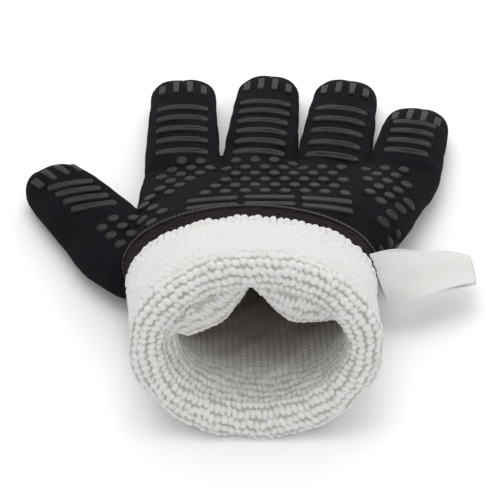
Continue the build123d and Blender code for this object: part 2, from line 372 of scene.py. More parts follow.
class Shader:
    """One procedural material, on a Principled shader."""

    def __init__(self, name, roughness, **settings):
        self.material = bpy.data.materials.new(name)
        self.material.use_nodes = True
        self.tree = self.material.node_tree
        self.surface = self.tree.nodes["Principled BSDF"]
        self.surface.inputs["Roughness"].default_value = roughness
        for socket, value in settings.items():
            self.surface.inputs[socket.replace("_", " ")].default_value = value

    def put(self, socket, value):
        """A link, where value comes from a node, or else a plain number or colour."""
        if isinstance(value, Value):
            value = value.socket
        if isinstance(value, bpy.types.NodeSocket):
            self.tree.links.new(value, socket)
        else:
            socket.default_value = value

    def node(self, kind, settings=None, inputs=None):
        made = self.tree.nodes.new(kind)
        for name, value in (settings or {}).items():
            if name == "stops":
                while len(made.color_ramp.elements) < len(value):
                    made.color_ramp.elements.new(0.5)
                for element, (place, colour) in zip(made.color_ramp.elements, value):
                    element.position = place
                    element.color = (*colour, 1)
            else:
                setattr(made, name, value)
        for name, value in (inputs or {}).items():
            self.put(made.inputs[name], value)
        return made

    def value(self, node, output=0):
        return Value(self, node.outputs[output])

    def uv(self):
        """The wale and the course, as two values."""
        place = self.node("ShaderNodeUVMap", {"uv_map": "UVMap"})
        split = self.node("ShaderNodeSeparateXYZ", None, {0: place.outputs[0]})
        return self.value(split, 0), self.value(split, 1)

    def height(self):
        """The piece's own relief, from 0 in the gaps to 1 on top, by which the knit materials paint shade
        into the gaps.
        """
        node = self.node("ShaderNodeAttribute", {"attribute_name": "height"})
        return self.value(node, "Fac")

    def place(self):
        return self.node("ShaderNodeTexCoord").outputs["Object"]

    def noise(self, scale, detail=3.0, roughness=0.6, vector=None):
        vector = self.place() if vector is None else vector
        made = self.node("ShaderNodeTexNoise", None,
                         {"Vector": vector, "Scale": scale, "Detail": detail, "Roughness": roughness})
        return self.value(made, "Fac")

    def mix(self, share, first, second):
        made = self.node("ShaderNodeMix", {"data_type": "RGBA"})
        self.put(made.inputs[0], share)
        self.put(made.inputs[6], first if not isinstance(first, tuple) else (*first, 1))
        self.put(made.inputs[7], second if not isinstance(second, tuple) else (*second, 1))
        return made.outputs[2]

    def bump(self, height, strength, distance, normal=None):
        made = self.node("ShaderNodeBump", None,
                         {"Height": height, "Strength": strength, "Distance": distance})
        if normal is not None:
            self.put(made.inputs["Normal"], normal)
        return made.outputs["Normal"]

    def finish(self, colour=None, roughness=None, normal=None):
        for socket, value in (("Base Color", colour), ("Roughness", roughness), ("Normal", normal)):
            if value is not None:
                self.put(self.surface.inputs[socket], value)
        return self.material


def tint(colour, *factors):
    """A colour whose channels are multiplied, all by one factor or each by its own."""
    factors = factors * 3 if len(factors) == 1 else factors
    return tuple(min(1.0, channel * factor) for channel, factor in zip(colour, factors))


# Colour factors of the painted shade in the gaps between the liner's beads and stitches
GAP_SHADE = (0.60, 0.57, 0.53)


def stitches(shader, wale, course, slant=0.55):
    """Knit stitches: two slanting legs in each wale, from 0 in the gaps to 1 on the yarn."""
    side = (wale.fraction() - 0.5).absolute()
    leg = (course + side * (2 * slant)).fraction()
    yarn = (leg * pi).sine()
    return (yarn ** 0.6) * (1 - ((side * 2) ** 6))


def shell_material():
    base = tuple(bpy.context.scene.glove.colours.shell)
    shader = Shader("Black shell knit", 0.86, Specular_IOR_Level=0.09, Sheen_Weight=0.01,
                    Sheen_Roughness=0.45, Sheen_Tint=(0.8, 0.8, 0.95, 1))
    wale, course = shader.uv()
    yarn = stitches(shader, wale, course)
    fuzz = shader.noise(2600, 3)
    patch = shader.noise(45, 2)
    # Painted shade and highlight: darkest in the gaps between the stitches and ribs, lightest on the rib tops
    colour = shader.mix(yarn * 0.4 + shader.height() * 0.6, tint(base, 0.04), tint(base, 2.7))
    colour = shader.mix((patch - 0.4) * 0.6, colour, tint(base, 2.0, 1.8, 2.0))
    normal = shader.bump(yarn + fuzz * 0.35, 0.75, 0.00035)
    return shader.finish(colour, fuzz * 0.2 + 0.74, normal)


def hem_material():
    base = tuple(bpy.context.scene.glove.colours.hem)
    shader = Shader("Hem purl knit", 0.9, Specular_IOR_Level=0.16, Sheen_Weight=0.03, Sheen_Roughness=0.5)
    fuzz = shader.noise(2400, 4, 0.7)
    patch = shader.noise(120, 3)
    # Random patches of tone, and painted shade in the gaps between the purl beads from the height attribute
    colour = shader.mix(patch * 0.4 + shader.height() * 0.6, tint(base, 0.08), tint(base, 1.7))
    colour = shader.mix(fuzz * 0.35, colour, tint(base, 2.6))
    return shader.finish(colour, fuzz * 0.15 + 0.8, shader.bump(fuzz, 0.8, 0.0004))


def silicone_material():
    base = tuple(bpy.context.scene.glove.colours.silicone)
    shader = Shader("Dark silicone", 0.5, Specular_IOR_Level=0.24)
    grain = shader.noise(900, 4, 0.65)
    pits = shader.noise(3200, 2)
    colour = shader.mix(grain, tint(base, 0.55), tint(base, 1.65))
    height = grain * 0.7 + pits * 0.3
    return shader.finish(colour, grain * 0.35 + 0.24, shader.bump(height, 0.7, 0.0006))


def liner_material():
    base = tuple(bpy.context.scene.glove.colours.liner)
    shader = Shader("White liner knit", 0.92, Specular_IOR_Level=0.25, Sheen_Weight=0.18, Sheen_Roughness=0.6)
    fuzz = shader.noise(1500, 5, 0.75)
    strands = shader.noise(520, 3, 0.6)
    patch = shader.noise(38, 2)
    # Painted shade in the gaps between the beads, from the height attribute
    colour = shader.mix(shader.height() * 1.5 + 0.05, tint(base, *GAP_SHADE), base)
    colour = shader.mix(strands * 0.2, colour, tint(base, 1.06))
    colour = shader.mix((patch - 0.35) * 0.6, colour, tint(base, 0.985, 0.975, 0.955))
    normal = shader.bump(fuzz * 0.8 + strands * 1.2, 0.8, 0.0012)
    return shader.finish(colour, fuzz * 0.1 + 0.86, normal)


def lining_material():
    """The lining inside the mouth: plain stitches in columns, with painted shade that darkens and browns it
    further in.
    """
    base = tuple(bpy.context.scene.glove.colours.liner)
    shader = Shader("Lining stockinette", 0.93, Specular_IOR_Level=0.2, Sheen_Weight=0.1, Sheen_Roughness=0.6)
    wale, course = shader.uv()
    yarn = stitches(shader, wale, course, 0.8)
    fuzz = shader.noise(1500, 5, 0.75)
    split = shader.node("ShaderNodeSeparateXYZ", None, {0: shader.place()})
    inwards = shader.value(split, 1) - shader.value(split, 2) * LEAN_RUN
    plain = ((inwards + 0.068) * 60).clipped()
    # depth: the painted shade, from 0 near the rim to 1 further into the mouth, where little light reaches
    depth = ((inwards + 0.058) * 50).clipped()
    relief = yarn * plain + shader.height() * 1.5 * (1 - plain)
    # Painted shade in the gaps between the stitches and the beads
    colour = shader.mix(relief, tint(base, *GAP_SHADE), base)
    # Painted shade: the lining turns a dark brownish grey further into the mouth
    colour = shader.mix(depth, colour, tint(base, 0.42, 0.37, 0.33))
    normal = shader.bump(yarn * plain + fuzz * 0.9, 0.7, 0.0012)
    return shader.finish(colour, fuzz * 0.1 + 0.86, normal)


def tape_material():
    """Herringbone twill: fine slanting ridges that turn back in each stripe along the tape."""
    base = tuple(bpy.context.scene.glove.colours.tape)
    shader = Shader("Herringbone tape", 0.8, Specular_IOR_Level=0.3, Sheen_Weight=0.15, Sheen_Roughness=0.5)
    across, along = shader.uv()
    zone = (across * 0.5).fraction()
    fold = (zone - 0.5).absolute() * 2
    ridge = ((along + fold * 5.5) * (2 * pi)).sine() * 0.5 + 0.5
    thread = (across * (2 * pi * 13)).sine() * 0.5 + 0.5
    fuzz = shader.noise(2600, 3)
    # Painted shade in the grooves between the twill ridges
    colour = shader.mix(ridge, tint(base, 0.80), base)
    normal = shader.bump(ridge + thread * 0.25 + fuzz * 0.2, 0.7, 0.0003)
    return shader.finish(colour, fuzz * 0.1 + 0.75, normal)


def thread_material():
    colour = tint(tuple(bpy.context.scene.glove.colours.hem), 1.2)
    shader = Shader("Overlock thread", 0.75, Specular_IOR_Level=0.35, Sheen_Weight=0.2)
    fibres = shader.noise(3000, 3)
    mixed = shader.mix(fibres, tint(colour, 0.6), tint(colour, 1.7))
    return shader.finish(mixed, None, shader.bump(fibres, 0.5, 0.0002))


MATERIALS = {}


def material(maker):
    """The material that a function makes, made once."""
    if maker not in MATERIALS:
        MATERIALS[maker] = maker()
    return MATERIALS[maker]


# --------------------------------------------------------------------------------------------------
# The knit: surfaces that the silicone is printed on are remembered without their ribs

PRINT_SURFACES = []
COURSE = 1.5


def remember(points):
    """Adds a tube, as vertices and faces, to the surfaces that are printed on."""
    rows, columns = points.shape[:2]
    start = sum(len(verts) for verts, _ in PRINT_SURFACES)
    index = np.arange(rows * columns).reshape(rows, columns) + start
    right = np.roll(index, -1, axis=1)
    faces = np.stack([index[:-1], index[1:], right[1:], right[:-1]], axis=-1).reshape(-1, 4)
    PRINT_SURFACES.append((points.reshape(-1, 3), faces))


def print_surface():
    verts = np.concatenate([v for v, _ in PRINT_SURFACES])
    faces = np.concatenate([f for _, f in PRINT_SURFACES])
    return BVHTree.FromPolygons(verts.tolist(), faces.tolist())


def ribs(points, wales, depth):
    """The relief of a ribbed knit, with its slow unevenness."""
    columns = points.shape[1]
    wale = np.arange(columns) / columns * wales
    ridge = np.sqrt(np.abs(np.cos(pi * wale)))
    relief = (ridge - 0.6) * depth * np.ones(points.shape[:2])
    return relief + waves(points, 34, 1.3) * 0.45 + waves(points, 13, 4.1) * 0.14


def knit_piece(name, points, wales):
    """A tube of the shell's ribbed knit, remembered for the grips."""
    remember(points)
    relief = ribs(points, wales, bpy.context.scene.glove.knit.rib_depth / MM)
    run = np.linalg.norm(np.diff(points.mean(axis=1), axis=0), axis=1).sum()
    return skin(name, points, relief, wales, run / COURSE)


def hand_points(columns):
    """The hand of the shell from inside the cuff to the finger roots, closed at both ends."""
    inner = np.array([42, 40, 30, 20, 10, 0, -10, -20, -29.7])
    closed_end = KNUCKLES + np.array([0.8, 1.6, 2.3, 2.8, 3.0])
    places = np.concatenate([inner, np.linspace(-30, KNUCKLES, 118), closed_end])
    table = curve_through(HAND, np.minimum(places, KNUCKLES))
    table[: len(inner), 2:4] -= WALL
    table[: len(inner), 4] += WALL
    shrink = np.sqrt(np.clip(1 - (np.maximum(places - KNUCKLES, 0) / 3.05) ** 2, 0.0, 1))
    lean, middle, wide, high, rise, square = table.T
    closing = np.array([0.001] + [1.0] * (len(places) - 1))
    wide = wide * closing - (1 - shrink) * 9
    new_high = high * closing * (0.35 + 0.65 * shrink)
    rise = rise + high - new_high
    wide[-1], new_high[-1] = 0.01, 0.01
    rise[-1] = high[-1]
    points = rings(middle, places, np.zeros_like(places), lean, wide, new_high, rise, square, columns)
    valley = sum(np.exp(-(((points[..., 0] - x) / CROTCH_WIDTH) ** 2)) for x in CROTCHES)
    deep = smoothstep(CROTCH_FROM, CROTCH_TO, points[..., 1]) * CROTCH_DEPTH
    side = np.clip((points[..., 2] - high.mean() * 0.6) / 3, -0.6, 1)
    points[..., 2] -= valley * deep * side * closing[:, None]
    return points


def digit_frame(name):
    """The root and the way ahead of a digit, from its joint, in millimetres."""
    joint = JOINTS[f"{name}_flex"]
    x, y = (value / MM for value in joint["pos_m"][:2])
    across = Vector(joint["axis"])
    return x, y, (-across.y, across.x), np.degrees(np.arctan2(across.y, across.x))


def digit_points(name, columns):
    """A digit from inside the hand to its domed tip, closed at both ends."""
    x, y, ahead, heading = digit_frame(name)
    length, widths, heights, tip_rise = DIGIT_SIZES[name]
    dome = length - TIP_DOME * (1 - np.sin(np.linspace(0, pi / 2, 17)))
    back = -THUMB_ROOT_START if name == "thumb" else -ROOT_OVERLAP
    straight = np.arange(back, length - TIP_DOME, 0.95)
    distance = np.concatenate([straight, dome])
    share = np.clip(distance / length, 0, 1)
    wide, high = curve_through(np.column_stack([(0, 0.5, 1), widths, heights]), share).T
    middle = high + tip_rise * share**2.5
    centre_x, centre_y = x + ahead[0] * distance, y + ahead[1] * distance
    if name == "thumb":
        end = THUMB_ROOT_END
        end_wide = wide[straight.searchsorted(end)]
        last = (end, x + ahead[0] * end, y + ahead[1] * end, end_wide, heights[0], 0)
        table = (*THUMB_ROOT, (0, x, y, widths[0], heights[0], 0), last)
        root = distance < end
        values = curve_through(table, distance[root])
        centre_x[root], centre_y[root], wide[root], high[root] = values[:, :4].T
        middle[root] = values[:, 3] + values[:, 4]
    else:
        inset = ROOT_INSET * (1 - smoothstep(-ROOT_OVERLAP + 3, 1, distance))
        wide, high = wide - inset, high - inset * 0.9
    tip = np.clip((distance - (length - TIP_DOME)) / TIP_DOME, 0, 1)
    scale = np.clip(1 - tip**TIP_SQUARE, 0, 1) ** (1 / TIP_SQUARE)
    start = np.clip((distance - back) / 3, 0, 1) ** 0.5
    scale = np.maximum(scale * start, 0.001)
    high = high * scale
    square = np.full_like(distance, DIGIT_SQUARE)
    zero = np.zeros_like(distance)
    return rings(centre_x, centre_y, zero + heading, zero, wide * scale, high, middle - high, square, columns)


def wale_count(points, wale):
    """How many ribs go round the widest ring."""
    steps = np.linalg.norm(np.roll(points, -1, axis=1) - points, axis=2)
    return int(round(steps.sum(axis=1).max() / wale))


class GLOVE_OT_hand(bpy.types.Operator):
    """Knit the hand of the shell"""

    bl_idname = "glove.hand"
    bl_label = "Hand"

    def execute(self, context):
        wale = context.scene.glove.knit.wale / MM
        wales = wale_count(hand_points(400), wale)
        piece = knit_piece("knit_hand", hand_points(wales * 5), wales)
        finish_piece(piece, material(shell_material), "shell_knit", "shell_hand")
        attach(piece, "hand")
        return {"FINISHED"}


class GLOVE_OT_digits(bpy.types.Operator):
    """Knit the thumb and the fingers"""

    bl_idname = "glove.digits"
    bl_label = "Thumb and fingers"

    def execute(self, context):
        wale = context.scene.glove.knit.wale / MM
        for name in DIGITS:
            wales = wale_count(digit_points(name, 300), wale)
            piece = knit_piece(f"knit_{name}", digit_points(name, wales * 6), wales)
            nodes = [f"shell_{name}", f"liner_{name}"]
            if name == "thumb":
                nodes += ["shell_thumb_root", "liner_thumb_root"]
            finish_piece(piece, material(shell_material), "shell_knit", *nodes)
            bend_with(piece, name)
        return {"FINISHED"}


def bend_with(piece, name):
    """Bakes the piece's placement into its mesh; the piece is not bent and does not follow the digit."""
    x, y, ahead, _ = digit_frame(name)
    ends = [Vector((x + ahead[0] * d, y + ahead[1] * d, 0)) * MM for d in (-BEND_BEFORE, BEND_AFTER)]
    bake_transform(piece)


# --------------------------------------------------------------------------------------------------
# The turned cuff

RIM_Y, HEM_Y, EDGE_Y = -83.0, -10.5, -29.5
RIM_WIDE, RIM_HIGH, HEM_WIDE, HEM_HIGH = 48.5, 39.0, 54.0, 26.5
RIM_SHIFT = 2.4
CUFF_ROUND, BEAD_STEPS = 278, 6.5
EDGE_ROWS = 6


def cuff_rings(places, insets, columns, lift=None, shape=None):
    """Rings of the turned cuff at floor lines, moved inwards by insets."""
    places, insets = np.asarray(places, float), np.asarray(insets, float)
    share = (places - RIM_Y) / (HEM_Y - RIM_Y)
    wide = RIM_WIDE + (HEM_WIDE - RIM_WIDE) * share - insets
    high = RIM_HIGH + (HEM_HIGH - RIM_HIGH) * share - insets
    middle = RIM_SHIFT * (1 - share)
    zero = np.zeros_like(places)
    rise = insets if lift is None else insets + lift
    return rings(middle, places, zero, zero + CUFF_LEAN, wide, high, rise, zero + 2.0, columns, shape)


def beads(points, wales, rows, strength, seed):
    """Purl beads in staggered rows. rows gives each ring's place, counted in bead rows."""
    count = points.shape[1]
    wale = (np.arange(count) / count * wales)[None, :]
    row = np.asarray(rows)[:, None]
    wobble = 0.10 * np.sin(2 * pi * wale / wales * 7 + seed) + 0.05 * np.sin(2 * pi * wale / wales * 23)
    row = row + wobble
    j = np.floor(row)
    shifted = wale + 0.5 * (j % 2) + 0.3 * (scatter(j, 3, seed) - 0.5)
    i = np.floor(shifted)
    size = 0.62 + 0.6 * scatter(i % wales, j, seed)
    offset = (scatter(i % wales, j, seed + 5) - 0.5) * 0.3
    slant = (scatter(i % wales, j, seed + 9) - 0.35) * 0.9
    dv = (row - j - 0.5 + offset) / 0.53
    du = (shifted - i - 0.5 + slant * dv * 0.3) / 0.58
    lump = 0.16 * waves(points, 2.3, seed + 3)
    bead = np.sqrt(np.clip(1 - np.abs(du) ** 2.3 - dv**2, 0, 1)) * (size + lump)
    return bead * np.asarray(strength)[:, None]


def bead_count(knit):
    """How many beads go round the cuff."""
    return int(round(CUFF_ROUND / (knit.bead / MM)))


class GLOVE_OT_cuff(bpy.types.Operator):
    """Knit the turned-back liner outside the cuff, with its scalloped edge"""

    bl_idname = "glove.cuff"
    bl_label = "Turned cuff"

    def execute(self, context):
        knit, cuff = context.scene.glove.knit, context.scene.glove.cuff
        wales = bead_count(knit)
        columns = wales * 7
        spacing = knit.bead_row / MM / BEAD_STEPS
        outside = np.arange(RIM_Y + cuff.roll / MM - 0.4, EDGE_Y - 1.5, spacing)
        turn = np.linspace(0, pi, 8)[1:-1]
        edge_places = EDGE_Y - 1.5 + 2.0 * np.sin(turn)
        edge_insets = 2.0 - 2.0 * np.cos(turn)
        back = np.linspace(EDGE_Y - 2.0, RIM_Y + 6.5, 8)
        places = np.concatenate([outside, edge_places, back])
        insets = np.concatenate([np.full(len(outside), 0.9), edge_insets + 0.6, np.full(len(back), 4.6)])
        puff = 0.5 * np.sin(pi * np.clip((outside - RIM_Y) / (EDGE_Y - RIM_Y), 0, 1))
        insets[: len(outside)] -= puff
        points = cuff_rings(places, insets, columns)
        rows = (places - places[0]) / (knit.bead_row / MM)
        near_rim = 1 - smoothstep(6, 22, places - RIM_Y)
        near_edge = smoothstep(-9, -1, places - EDGE_Y)
        strength = knit.bead_height / MM * (0.34 + 0.66 * near_rim + 0.4 * near_edge)
        strength[len(outside) + len(turn):] = 0
        relief = beads(points, wales, rows, strength, 2.0)
        # Mask of the painted shade in the gaps between the beads: softer on the outside, full at the rim
        soft = 0.45 + 0.55 * near_rim
        shade = 1 - soft[:, None] * (1 - beads(points, wales, rows, np.ones(len(places)), 2.0))
        relief += waves(points, 30, 2.2) * 0.5 * (strength > 0)[:, None]
        relief += waves(points, 6.5, 7.7) * 0.22 * (strength > 0)[:, None]
        self.scallop(points, wales, len(outside))
        piece = skin("liner_turned", points, relief, wales, rows.max(), loop=True, shade=shade)
        finish_piece(piece, material(liner_material), "liner_knit", "liner_cuff_turned")
        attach(piece, "hand")
        return {"FINISHED"}

    def scallop(self, points, wales, outside):
        """Draws the free edge out into uneven scallops, one to each bead."""
        columns = points.shape[1]
        wale = np.arange(columns) / columns * wales
        i = np.floor(wale)
        tooth = np.sqrt(np.abs(np.sin(pi * wale)))
        reach = (tooth - 0.45) * (1.6 + 2.6 * scatter(i % wales, 1, 3.3))
        lift = tooth * 1.1 * scatter(i % wales, 2, 1.1)
        for row in range(outside - EDGE_ROWS, outside + EDGE_ROWS + 1):
            share = min(1.0, (row - outside + EDGE_ROWS) / EDGE_ROWS)
            points[row, :, 1] += reach * share
            points[row, :, 2] += lift * share


class GLOVE_OT_mouth(bpy.types.Operator):
    """Knit the rolled rim and the lining that droops inside the mouth"""

    bl_idname = "glove.mouth"
    bl_label = "Rim and mouth"

    def execute(self, context):
        knit, cuff = context.scene.glove.knit, context.scene.glove.cuff
        wales = bead_count(knit)
        columns = wales * 6
        roll, depth = cuff.roll / MM, cuff.depth / MM
        spacing = knit.bead_row / MM / BEAD_STEPS
        deep_end = RIM_Y + depth
        fine_from = RIM_Y + 22
        inside = np.concatenate([np.arange(deep_end, fine_from, -1.1),
                                 np.arange(fine_from, RIM_Y + roll, -spacing)])
        turn = np.linspace(0, pi, int(pi * roll / spacing))[1:-1]
        rim_places = RIM_Y + roll - roll * np.sin(turn)
        rim_insets = roll + roll * np.cos(turn)
        back = np.linspace(RIM_Y + roll - 0.4, deep_end, 12)
        places = np.concatenate([[deep_end + 0.6], inside, rim_places, back, [deep_end + 1.2]])
        rim_insets = rim_insets + 0.7 * np.cos(turn)
        insets = np.concatenate([[2 * roll], np.full(len(inside), 2 * roll), rim_insets,
                                 np.full(len(back), roll + 1.5), [roll]])
        first_back = 1 + len(inside) + len(turn)
        insets[first_back] = 0.6
        sag = cuff.sag / MM

        def droop(row, x, z):
            """Lowers the sides of the upper lining, so that the mouth narrows to a tent at its top."""
            if row in (0, len(places) - 1):
                return x * 0.001, (z - z.mean()) * 0.001 + z.mean()
            if row > first_back:
                return x, z
            deep = places[row] - RIM_Y
            lining = row <= len(inside)
            weight = lining * smoothstep(2, 17, deep) * (1 - 0.75 * smoothstep(45, 80, deep))
            q = np.abs(x + 4.2) / max(x.max(), 1)
            x = x * (1 - 0.1 * weight) + 3.2 * weight
            upper = smoothstep(0, 0.55, (z - z.mean()) / max(z.max() - z.mean(), 1))
            amount = np.sin(0.92 * pi * np.clip(q, 0, 1) ** 0.88) ** 0.85
            return x, z - sag * weight * amount * upper

        points = cuff_rings(places, insets, columns, shape=droop)
        step = np.linalg.norm(np.diff(points[:, columns // 4], axis=0), axis=1)
        rows = np.concatenate([[0], np.cumsum(step)]) / (knit.bead_row / MM)
        rows = rows[first_back] - rows
        deep = np.where(np.arange(len(places)) <= len(inside), places - RIM_Y, 0)
        beaded = 1 - smoothstep(roll + 3, roll + 13, deep)
        strength = knit.bead_height / MM * beaded
        strength[first_back + 1:] = 0
        relief = beads(points, wales, rows, strength, 2.0)
        # Mask of the painted shade in the gaps between the beads, stored as the height attribute
        shade = beads(points, wales, rows, np.ones(len(places)), 2.0)
        stitch_wales = round(wales * 0.75)
        stitch_columns = np.sqrt(np.abs(np.sin(pi * stitch_wales * np.arange(columns) / columns))) * 0.55
        plain = (1 - beaded) * (np.arange(len(places)) <= len(inside))
        relief += stitch_columns[None, :] * plain[:, None]
        relief += waves(points, 24, 5.2) * (0.8 * (np.arange(len(places)) <= first_back))[:, None]
        piece = skin("liner_mouth", points, relief, stitch_wales, rows.max() - rows.min(), shade=shade)
        finish_piece(piece, material(lining_material), "liner_knit", "liner_cuff_fold", "liner_hand")
        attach(piece, "hand")
        return {"FINISHED"}


HEM_WALES, HEM_ROW = 172, 1.9
OVERLOCK_STITCHES, THREAD_RADIUS, THREAD_SIDES, THREAD_STEPS = 132, 0.5, 5, 4


class GLOVE_OT_hem(bpy.types.Operator):
    """Knit the dark hem band and sew its overlocked edge"""

    bl_idname = "glove.hem"
    bl_label = "Hem and overlock"

    def execute(self, context):
        outside = np.arange(EDGE_Y - 5, HEM_Y - 0.5, 0.36)
        turn = np.linspace(0.3, 2.8, 6)
        inside = np.linspace(HEM_Y - 1, EDGE_Y - 5, 6)
        places = np.concatenate([outside, HEM_Y + 0.9 * np.sin(turn), inside])
        tucked = 3.2 * (1 - smoothstep(EDGE_Y - 2, EDGE_Y + 1.5, outside))
        insets = np.concatenate([1.2 + tucked, 2.6 - 1.6 * np.cos(turn), np.full(len(inside), 4.2)])
        points = cuff_rings(places, insets, HEM_WALES * 4)
        strength = np.where(np.arange(len(places)) < len(outside) + 4, 0.95, 0.0)
        relief = beads(points, HEM_WALES, (places - places[0]) / HEM_ROW, strength, 6.0)
        relief += waves(points, 18, 3.2) * 0.3
        piece = skin("hem_knit", points, relief, HEM_WALES, 10, loop=True)
        finish_piece(piece, material(hem_material), "hem_knit", "hem_band", "shell_cuff_turned")
        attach(piece, "hand")
        self.overlock()
        return {"FINISHED"}

    def overlock(self):
        """One thread loop over the hem's edge, copied all round, and two chained rows beside it."""
        count = OVERLOCK_STITCHES
        edge = cuff_rings([HEM_Y - 2.2, HEM_Y + 0.6, HEM_Y - 1.5], [-0.1, 1.6, 4.3], count)
        chain = cuff_rings([HEM_Y - 3.0, HEM_Y - 3.8], [-0.2, -0.2], count)
        routes = []
        for i in range(count):
            j = (i + 1) % count
            routes.append([edge[0, i], edge[1, i] * 0.6 + edge[1, j] * 0.4, edge[2, j]])
            routes.append([edge[0, i], (edge[0, j] + chain[0, j]) / 2, edge[1, j]])
            routes.append([chain[1, i], chain[0, i], chain[1, j]])
        piece = threads("hem_overlock_thread", routes)
        finish_piece(piece, material(thread_material), "overlock_thread", "hem_overlock")
        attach(piece, "hand")


def threads(name, routes):
    """Short threads along smooth routes of three points, in millimetres, as one mesh."""
    verts, faces = [], []
    sides, steps = THREAD_SIDES, THREAD_STEPS
    for start, middle, end in routes:
        start, middle, end = (np.asarray(p) for p in (start, middle, end))
        first = len(verts)
        for step in range(steps + 1):
            t = step / steps
            at = start * (1 - t) ** 2 + middle * 2 * t * (1 - t) + end * t * t
            way = (middle - start) * (1 - t) + (end - middle) * t
            way = way / max(np.linalg.norm(way), 1e-6)
            side = np.cross(way, (0.3, 0.2, 0.9))
            side = side / max(np.linalg.norm(side), 1e-6)
            other = np.cross(way, side)
            for corner in range(sides):
                angle = 2 * pi * corner / sides
                verts.append((at + (side * cos(angle) + other * sin(angle)) * THREAD_RADIUS) * MM)
        for step in range(steps):
            for corner in range(sides):
                a = first + step * sides + corner
                b = first + step * sides + (corner + 1) % sides
                faces.append((a, b, b + sides, a + sides))
        faces.append(tuple(first + c for c in reversed(range(sides))))
        faces.append(tuple(first + steps * sides + c for c in range(sides)))
    mesh = bpy.data.meshes.new(name)
    mesh.from_pydata([tuple(v) for v in verts], [], faces)
    piece = bpy.data.objects.new(name, mesh)
    bpy.context.scene.collection.objects.link(piece)
    edit(piece, (bpy.ops.mesh.normals_make_consistent, {"inside": False}))
    bpy.ops.object.shade_smooth()
    return piece


# --------------------------------------------------------------------------------------------------
# Silicone grips

DOT_SIDES, BAR_SIDES = 16, 36
# How far in from the edge, in millimetres, and how high, as a share of the grips' height
PRINT_PROFILE = ((0.0, -0.55), (0.0, 0.34), (0.26, 0.80), (0.75, 1.04), (1.5, 0.88))
BUTTON_INSET = 0.25


def outline(half_length, half_width, corner, count):
    """Points spaced evenly round a rounded rectangle."""
    corner = min(corner, half_length, half_width)
    points = []
    for turn, (sx, sy) in enumerate(((1, 1), (-1, 1), (-1, -1), (1, -1))):
        for step in range(9):
            angle = pi / 2 * (turn + step / 8)
            points.append((sx * (half_length - corner) + corner * cos(angle),
                           sy * (half_width - corner) + corner * sin(angle)))
    points.append(points[0])
    points = np.array(points)
    length = np.concatenate([[0], np.cumsum(np.linalg.norm(np.diff(points, axis=0), axis=1))])
    even = np.arange(count) / count * length[-1]
    return np.stack([np.interp(even, length, points[:, 0]), np.interp(even, length, points[:, 1])], axis=1)


def button(sides):
    """A round button with a stepped top, whose rings can be moved to any outline."""
    deselect()
    bpy.ops.mesh.primitive_cylinder_add(vertices=sides, radius=1, depth=1, end_fill_type="NGON")
    made = bpy.context.object
    bpy.ops.object.mode_set(mode="EDIT")
    bpy.ops.mesh.select_all(action="DESELECT")
    bpy.ops.object.mode_set(mode="OBJECT")
    for face in made.data.polygons:
        face.select = face.normal.z > 0.9
    bpy.ops.object.mode_set(mode="EDIT")
    for _ in PRINT_PROFILE[2:]:
        bpy.ops.mesh.inset(thickness=BUTTON_INSET)
    bpy.ops.object.mode_set(mode="OBJECT")
    return made


def printed(name, prints, surface, sides):
    """Silicone prints on the knit, as one mesh, which stands for the node of its name. Each print is a
    place, a heading, half its length and width, and its corner radius, in millimetres."""
    template = button(sides)
    start = np.array([vertex.co[:] for vertex in template.data.vertices])
    radius = np.hypot(start[:, 0], start[:, 1])
    angle = np.arctan2(start[:, 1], start[:, 0])
    levels = np.where(start[:, 2] < 0, 0, 1 + np.rint((1 - radius) / BUTTON_INSET).astype(int))
    levels = np.minimum(levels, len(PRINT_PROFILE) - 1)
    around = np.rint(angle / (2 * pi) * sides).astype(int) % sides
    height = bpy.context.scene.glove.grips.height / MM
    copies = []
    for number, (x, y, heading, half_length, half_width, corner) in enumerate(prints):
        shapes = []
        for inset, _ in PRINT_PROFILE:
            inset = min(inset, half_width - 0.25)
            shapes.append(outline(half_length - inset, half_width - inset, max(corner - inset, 0.2), sides))
        turn = radians(heading)
        places = []
        for level, k in zip(levels, around):
            px, py = shapes[level][k]
            wx, wy = x + px * cos(turn) - py * sin(turn), y + px * sin(turn) + py * cos(turn)
            hit, normal, _, _ = surface.ray_cast(Vector((wx, wy, 120)), Vector((0, 0, -1)))
            if hit is None:
                hit, normal, _, _ = surface.find_nearest(Vector((wx, wy, 12)))
            normal = normal if normal.z > 0 else -normal
            uneven = 1 + 0.12 * (scatter(number, 1, half_length) - 0.5)
            places.append((hit + normal * PRINT_PROFILE[level][1] * height * uneven) * MM)
        mesh = template.data.copy()
        mesh.vertices.foreach_set("co", np.array(places, float).ravel())
        copy = bpy.data.objects.new(name, mesh)
        bpy.context.scene.collection.objects.link(copy)
        copies.append(copy)
    bpy.data.objects.remove(template)
    deselect()
    for copy in copies:
        copy.select_set(True)
    bpy.context.view_layer.objects.active = copies[0]
    bpy.ops.object.join()
    piece = bpy.context.object
    piece.name = piece.data.name = name
    edit(piece, (bpy.ops.mesh.normals_make_consistent, {"inside": False}))
    bpy.ops.object.shade_smooth()
    return finish_piece(piece, material(silicone_material), "silicone", name)


def inside(point, corners):
    """True where a point lies inside a closed outline given by its corners."""
    x, y = point
    found = False
    for (x1, y1), (x2, y2) in zip(corners, corners[1:] + corners[:1]):
        if (y1 > y) != (y2 > y) and x < x1 + (x2 - x1) * (y - y1) / (y2 - y1):
            found = not found
    return found


def staggered(corners, start, pitch, row_pitch):
    """Dot centres in staggered rows over an outline, counted from one of the dots."""
    steps = range(-14, 15)
    x, y = start
    places = [(x + (c + 0.5 * (r % 2)) * pitch, y + r * row_pitch) for r in steps for c in steps]
    return [place for place in places if inside(place, corners)]


